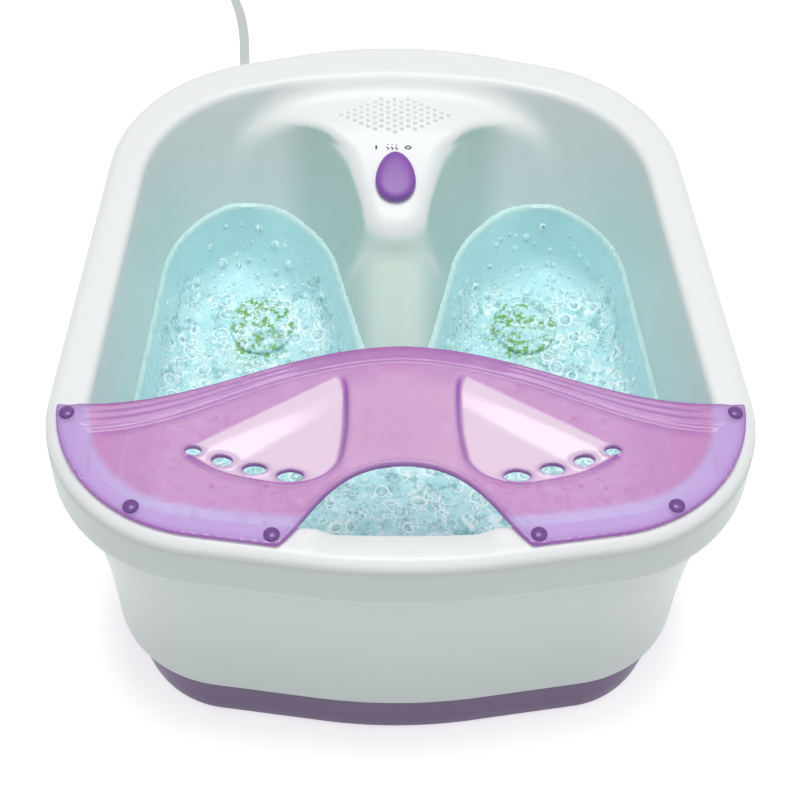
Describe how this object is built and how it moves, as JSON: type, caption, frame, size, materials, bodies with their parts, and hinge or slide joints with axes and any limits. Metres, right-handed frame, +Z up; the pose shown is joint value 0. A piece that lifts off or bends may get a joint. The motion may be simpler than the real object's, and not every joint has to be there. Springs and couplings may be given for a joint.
{
  "type": "foot spa basin",
  "caption": "Deep two-foot spa basin with a heel-end console and rotary selector, lift-off translucent toe guard, foot bed, blower, heater and power cord.",
  "frame": {"origin": "on the floor, under the middle of the rim", "axes": "+Z up, +Y towards the heel end with the console and the power cord, +X to the right as seen from the toe end"},
  "size_m": [0.3666, 0.8315, 0.1904],
  "materials": {
    "white_gloss": "glossy white moulded ABS",
    "purple_base": "satin lilac plastic",
    "purple_knob": "semi-gloss violet plastic",
    "purple_clear": "translucent violet polycarbonate",
    "aqua_bed": "glossy aqua plastic",
    "green_pad": "soft green elastomer",
    "black_rubber": "matte rubber",
    "grey_plastic": "moulded grey plastic",
    "black_plastic": "moulded black plastic",
    "steel": "bright steel",
    "copper": "enamelled copper windings",
    "brass": "bright brass",
    "cord_grey": "soft light-grey PVC"
  },
  "bodies": {
    "basin": {"basin_shell": "white_gloss", "outer_shell": "white_gloss", "base_pan": "purple_base", "foot_bed": "aqua_bed", "massage_pad_left": "green_pad", "massage_pad_right": "green_pad", "motor_can": "steel", "motor_end_cap": "steel", "heater_plate": "steel", "base_screw_1": "steel", "base_screw_2": "steel", "base_screw_3": "steel", "base_screw_4": "steel", "shaft_seal": "black_rubber", "motor_grommet_left": "black_rubber", "motor_grommet_right": "black_rubber", "switch_lead": "black_rubber", "motor_lead": "black_rubber", "heater_lead": "black_rubber", "coil_tie": "black_rubber", "rubber_foot_1": "black_rubber", "rubber_foot_2": "black_rubber", "rubber_foot_3": "black_rubber", "rubber_foot_4": "black_rubber", "rotary_switch": "black_plastic", "motor_bracket": "black_plastic", "thermostat": "black_plastic", "terminal_block": "black_plastic", "air_hose_left": "grey_plastic", "air_hose_right": "grey_plastic", "air_manifold_left": "grey_plastic", "air_manifold_right": "grey_plastic", "blower_housing": "grey_plastic", "blower_cover": "grey_plastic", "thermal_fuse": "grey_plastic", "strain_relief": "cord_grey", "power_cord": "cord_grey", "cord_coil": "cord_grey", "cord_tail": "cord_grey", "plug_body": "cord_grey", "plug_blade_left": "brass", "plug_blade_right": "brass"},
    "guard": {"splash_guard": "purple_clear", "guard_peg_left_1": "purple_knob", "guard_peg_left_2": "purple_knob", "guard_peg_left_3": "purple_knob", "guard_peg_right_1": "purple_knob", "guard_peg_right_2": "purple_knob", "guard_peg_right_3": "purple_knob"},
    "selector": {"selector_knob": "purple_knob", "knob_shaft": "steel"},
    "rotor": {"motor_shaft": "steel", "motor_armature": "copper", "eccentric_weight": "steel", "impeller": "grey_plastic"}
  },
  "joints": [
    {"name": "guard_lift", "type": "slide", "parent": "basin", "child": "guard", "axis": [0, 0, 1], "range_m": [0, 0.06]},
    {"name": "selector_turn", "type": "hinge", "parent": "basin", "child": "selector", "pos_m": [0, 0.103, 0.1598], "axis": [0, -0.2924, 0.9563], "range_deg": [-20, 20]},
    {"name": "rotor_spin", "type": "hinge", "parent": "basin", "child": "rotor", "pos_m": [0, 0.07, 0.033], "axis": [0, 1, 0], "continuous": true}
  ]
}
